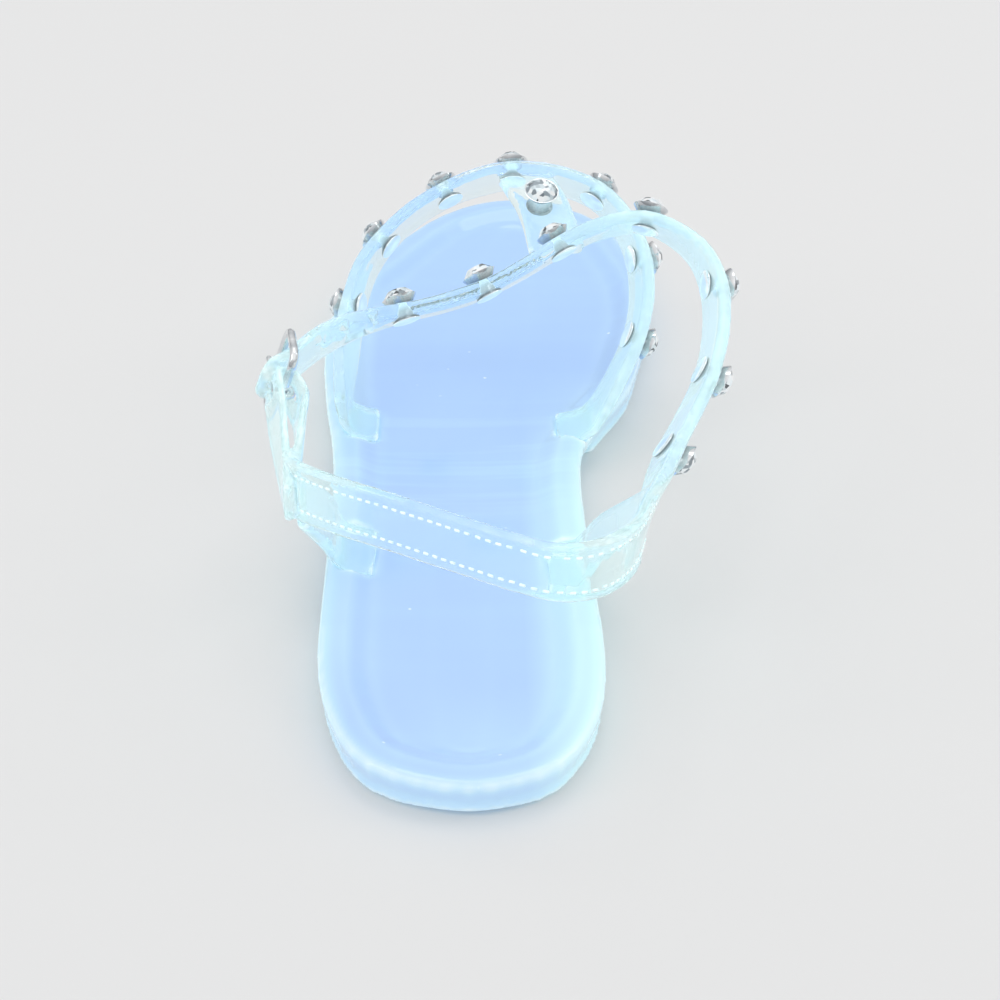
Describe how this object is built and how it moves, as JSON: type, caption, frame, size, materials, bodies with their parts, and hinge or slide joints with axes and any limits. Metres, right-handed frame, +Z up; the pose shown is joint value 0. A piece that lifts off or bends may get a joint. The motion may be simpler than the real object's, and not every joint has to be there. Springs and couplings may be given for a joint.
{
  "type": "jelly sandal",
  "caption": "Left jelly sandal of clear pale-blue PVC: flat rimmed sole, studded toe strap, T-bar and ankle strap, heel band and a metal side buckle.",
  "frame": {"origin": "on the floor, in the middle of the heel's flat rest on the underside of the sole", "axes": "+Y from the heel to the toes along the shoe's length, +X to the inner side of the left foot, +Z up"},
  "size_m": [0.1136, 0.2514, 0.0626],
  "materials": {
    "clear_pvc_sole": "clear pale-blue moulded PVC, soft and glossy",
    "clear_pvc_upper": "clear pale-blue moulded PVC, soft and glossy",
    "plated_metal": "bright silver plating",
    "cut_glass": "clear cut stones"
  },
  "bodies": {
    "root": {"sole": "clear_pvc_sole", "upper": "clear_pvc_upper", "stud_01": "plated_metal", "stud_02": "plated_metal", "stud_03": "plated_metal", "stud_04": "plated_metal", "stud_05": "plated_metal", "stud_06": "plated_metal", "stud_07": "plated_metal", "stud_08": "plated_metal", "stud_09": "plated_metal", "stud_10": "plated_metal", "stud_11": "plated_metal", "stud_12": "plated_metal", "stud_13": "plated_metal", "stud_14": "plated_metal", "stud_15": "plated_metal", "stone_01": "cut_glass", "stone_02": "cut_glass", "stone_03": "cut_glass", "stone_04": "cut_glass", "stone_05": "cut_glass", "stone_06": "cut_glass", "stone_07": "cut_glass", "stone_08": "cut_glass", "stone_09": "cut_glass", "stone_10": "cut_glass", "stone_11": "cut_glass", "stone_12": "cut_glass", "stone_13": "cut_glass", "stone_14": "cut_glass", "stone_15": "cut_glass", "buckle_frame": "plated_metal", "buckle_prong": "plated_metal"}
  },
  "joints": []
}
